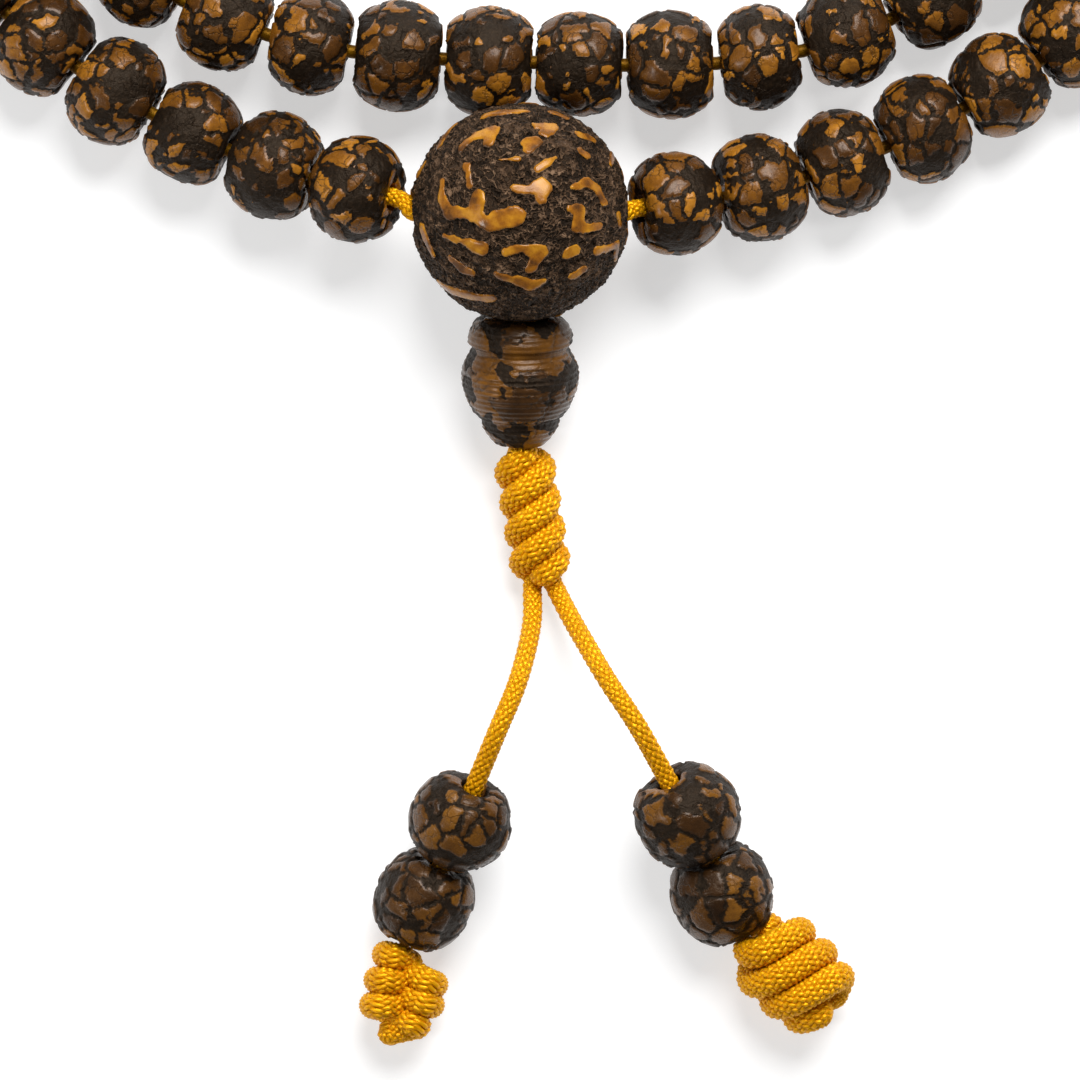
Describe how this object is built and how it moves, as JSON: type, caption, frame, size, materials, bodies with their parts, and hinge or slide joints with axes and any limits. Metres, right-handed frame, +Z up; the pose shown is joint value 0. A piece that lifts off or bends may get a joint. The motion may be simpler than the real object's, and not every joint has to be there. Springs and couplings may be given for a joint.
{
  "type": "mala prayer beads",
  "caption": "String of turned seed beads on a braided cord, wound twice into a ring, with a large guru bead, a turned cap, a knotted pendant and two short tails of counter beads.",
  "frame": {"origin": "centre of the object's box in plan, on the table it lies on", "axes": "+Z up from the table, +Y from the tails towards the back of the ring, +X to the right"},
  "size_m": [0.1635, 0.2356, 0.0213],
  "materials": {
    "seed_bead": "polished dark brown seed with orange-brown patches",
    "guru_seed": "fibrous grey-brown ground with smooth golden-brown raised islands",
    "turned_cap": "lathe-turned and polished, with fine grooves",
    "satin_cord": "braided satin cord, golden yellow"
  },
  "bodies": {
    "strand": {"main_cord": "satin_cord", "beads_007_010": "seed_bead", "beads_011_014": "seed_bead", "beads_015_018": "seed_bead", "beads_019_022": "seed_bead", "beads_023_026": "seed_bead", "beads_027_030": "seed_bead", "beads_031_034": "seed_bead", "beads_035_038": "seed_bead", "beads_039_042": "seed_bead", "beads_043_046": "seed_bead", "beads_047_049": "seed_bead", "beads_061_064": "seed_bead", "beads_065_068": "seed_bead", "beads_069_072": "seed_bead", "beads_073_076": "seed_bead", "beads_077_080": "seed_bead", "beads_081_084": "seed_bead", "beads_085_088": "seed_bead", "beads_089_092": "seed_bead", "beads_093_096": "seed_bead", "beads_097_100": "seed_bead", "beads_101_102": "seed_bead"},
    "pendant": {"guru_bead": "guru_seed", "stem_cord": "satin_cord", "guru_knot": "satin_cord"},
    "cap": {"guru_cap": "turned_cap"},
    "left_tail": {"left_tail_cord": "satin_cord", "left_end_knot": "satin_cord"},
    "right_tail": {"right_tail_cord": "satin_cord", "right_end_knot": "satin_cord"},
    "left_upper_bead": {"left_upper_counter": "seed_bead"},
    "left_lower_bead": {"left_lower_counter": "seed_bead"},
    "right_upper_bead": {"right_upper_counter": "seed_bead"},
    "right_lower_bead": {"right_lower_counter": "seed_bead"},
    "strand_bead_001": {"bead_001": "seed_bead"},
    "strand_bead_002": {"bead_002": "seed_bead"},
    "strand_bead_003": {"bead_003": "seed_bead"},
    "strand_bead_004": {"bead_004": "seed_bead"},
    "strand_bead_005": {"bead_005": "seed_bead"},
    "strand_bead_006": {"bead_006": "seed_bead"},
    "strand_bead_050": {"bead_050": "seed_bead"},
    "strand_bead_051": {"bead_051": "seed_bead"},
    "strand_bead_052": {"bead_052": "seed_bead"},
    "strand_bead_053": {"bead_053": "seed_bead"},
    "strand_bead_054": {"bead_054": "seed_bead"},
    "strand_bead_055": {"bead_055": "seed_bead"},
    "strand_bead_056": {"bead_056": "seed_bead"},
    "strand_bead_057": {"bead_057": "seed_bead"},
    "strand_bead_058": {"bead_058": "seed_bead"},
    "strand_bead_059": {"bead_059": "seed_bead"},
    "strand_bead_060": {"bead_060": "seed_bead"},
    "strand_bead_103": {"bead_103": "seed_bead"},
    "strand_bead_104": {"bead_104": "seed_bead"},
    "strand_bead_105": {"bead_105": "seed_bead"},
    "strand_bead_106": {"bead_106": "seed_bead"},
    "strand_bead_107": {"bead_107": "seed_bead"},
    "strand_bead_108": {"bead_108": "seed_bead"}
  },
  "joints": [
    {"name": "pendant_swing", "type": "hinge", "parent": "strand", "child": "pendant", "pos_m": [-0.003, -0.0413, 0.0101], "axis": [-1, 0, 0], "range_deg": [0, 90]},
    {"name": "left_tail_swing", "type": "hinge", "parent": "pendant", "child": "left_tail", "pos_m": [-0.0019, -0.0755, 0.0024], "axis": [0, 0, 1], "range_deg": [-50, 12], "deforming": ["left_tail_cord"]},
    {"name": "right_tail_swing", "type": "hinge", "parent": "pendant", "child": "right_tail", "pos_m": [0.0001, -0.0753, 0.0024], "axis": [0, 0, 1], "range_deg": [-12, 50], "deforming": ["right_tail_cord"]},
    {"name": "left_counter_slide", "type": "slide", "parent": "left_tail", "child": "left_upper_bead", "axis": [0.3542, 0.8602, 0.3669], "range_m": [0, 0.005]},
    {"name": "right_counter_slide", "type": "slide", "parent": "right_tail", "child": "right_upper_bead", "axis": [-0.4572, 0.8181, 0.3489], "range_m": [0, 0.005]},
    {"name": "left_counter_spin", "type": "hinge", "parent": "left_tail", "child": "left_lower_bead", "pos_m": [-0.01185, -0.10415, 0.00485], "axis": [-0.4205, -0.8517, -0.3127], "continuous": true},
    {"name": "right_counter_spin", "type": "hinge", "parent": "right_tail", "child": "right_lower_bead", "pos_m": [0.0156, -0.1036, 0.00485], "axis": [0.3189, -0.8884, -0.3303], "continuous": true},
    {"name": "cap_spin", "type": "hinge", "parent": "pendant", "child": "cap", "pos_m": [-0.003, -0.0413, 0.0101], "axis": [0, -0.9613, -0.2756], "continuous": true},
    {"name": "bead_108_slide", "type": "slide", "parent": "strand", "child": "strand_bead_108", "axis": [0.9203, -0.2202, 0.3234], "range_m": [0, 0.00025]},
    {"name": "bead_001_spin", "type": "hinge", "parent": "strand", "child": "strand_bead_001", "pos_m": [0.01117, -0.04039, 0.00851], "axis": [0.9314, 0.1367, -0.3373], "continuous": true},
    {"name": "bead_002_spin", "type": "hinge", "parent": "strand", "child": "strand_bead_002", "pos_m": [0.01886, -0.03884, 0.00635], "axis": [0.9508, 0.2405, -0.1953], "continuous": true},
    {"name": "bead_003_spin", "type": "hinge", "parent": "strand", "child": "strand_bead_003", "pos_m": [0.02664, -0.03643, 0.00537], "axis": [0.9373, 0.3461, -0.0409], "continuous": true},
    {"name": "bead_004_spin", "type": "hinge", "parent": "strand", "child": "strand_bead_004", "pos_m": [0.03405, -0.03324, 0.0052], "axis": [0.8966, 0.4428, 0], "continuous": true},
    {"name": "bead_005_spin", "type": "hinge", "parent": "strand", "child": "strand_bead_005", "pos_m": [0.04111, -0.02928, 0.0052], "axis": [0.8451, 0.5346, 0], "continuous": true},
    {"name": "bead_006_spin", "type": "hinge", "parent": "strand", "child": "strand_bead_006", "pos_m": [0.04785, -0.02448, 0.0052], "axis": [0.7827, 0.6224, 0], "continuous": true},
    {"name": "bead_050_spin", "type": "hinge", "parent": "strand", "child": "strand_bead_050", "pos_m": [-0.03751, -0.01914, 0.0052], "axis": [0.8285, -0.5599, 0], "continuous": true},
    {"name": "bead_051_spin", "type": "hinge", "parent": "strand", "child": "strand_bead_051", "pos_m": [-0.03014, -0.02307, 0.0052], "axis": [0.9268, -0.3756, 0], "continuous": true},
    {"name": "bead_052_spin", "type": "hinge", "parent": "strand", "child": "strand_bead_052", "pos_m": [-0.02232, -0.02542, 0.0052], "axis": [0.9811, -0.1936, 0], "continuous": true},
    {"name": "bead_053_spin", "type": "hinge", "parent": "strand", "child": "strand_bead_053", "pos_m": [-0.01422, -0.02653, 0.0052], "axis": [0.9969, -0.0792, 0], "continuous": true},
    {"name": "bead_054_spin", "type": "hinge", "parent": "strand", "child": "strand_bead_054", "pos_m": [-0.00589, -0.02702, 0.0052], "axis": [0.9993, -0.0382, 0], "continuous": true},
    {"name": "bead_055_spin", "type": "hinge", "parent": "strand", "child": "strand_bead_055", "pos_m": [0.00238, -0.0273, 0.0052], "axis": [0.9995, -0.03, 0], "continuous": true},
    {"name": "bead_056_spin", "type": "hinge", "parent": "strand", "child": "strand_bead_056", "pos_m": [0.01076, -0.02735, 0.0052], "axis": [0.9998, 0.0185, 0], "continuous": true},
    {"name": "bead_057_spin", "type": "hinge", "parent": "strand", "child": "strand_bead_057", "pos_m": [0.01897, -0.02669, 0.0052], "axis": [0.9896, 0.1438, 0], "continuous": true},
    {"name": "bead_058_spin", "type": "hinge", "parent": "strand", "child": "strand_bead_058", "pos_m": [0.02698, -0.02467, 0.0052], "axis": [0.9414, 0.3374, 0], "continuous": true},
    {"name": "bead_059_spin", "type": "hinge", "parent": "strand", "child": "strand_bead_059", "pos_m": [0.03463, -0.02102, 0.0052], "axis": [0.8544, 0.5196, 0], "continuous": true},
    {"name": "bead_060_spin", "type": "hinge", "parent": "strand", "child": "strand_bead_060", "pos_m": [0.0416, -0.01613, 0.0052], "axis": [0.7799, 0.626, 0], "continuous": true},
    {"name": "bead_103_spin", "type": "hinge", "parent": "strand", "child": "strand_bead_103", "pos_m": [-0.05311, -0.01989, 0.0052], "axis": [0.723, -0.6908, 0], "continuous": true},
    {"name": "bead_104_spin", "type": "hinge", "parent": "strand", "child": "strand_bead_104", "pos_m": [-0.04687, -0.02526, 0.0052], "axis": [0.7928, -0.6095, 0], "continuous": true},
    {"name": "bead_105_spin", "type": "hinge", "parent": "strand", "child": "strand_bead_105", "pos_m": [-0.04022, -0.02984, 0.0052], "axis": [0.8523, -0.523, 0], "continuous": true},
    {"name": "bead_106_spin", "type": "hinge", "parent": "strand", "child": "strand_bead_106", "pos_m": [-0.03311, -0.0337, 0.00532], "axis": [0.9022, -0.4305, 0.0281], "continuous": true},
    {"name": "bead_107_spin", "type": "hinge", "parent": "strand", "child": "strand_bead_107", "pos_m": [-0.02553, -0.03683, 0.00618], "axis": [0.9283, -0.3267, 0.1775], "continuous": true}
  ]
}
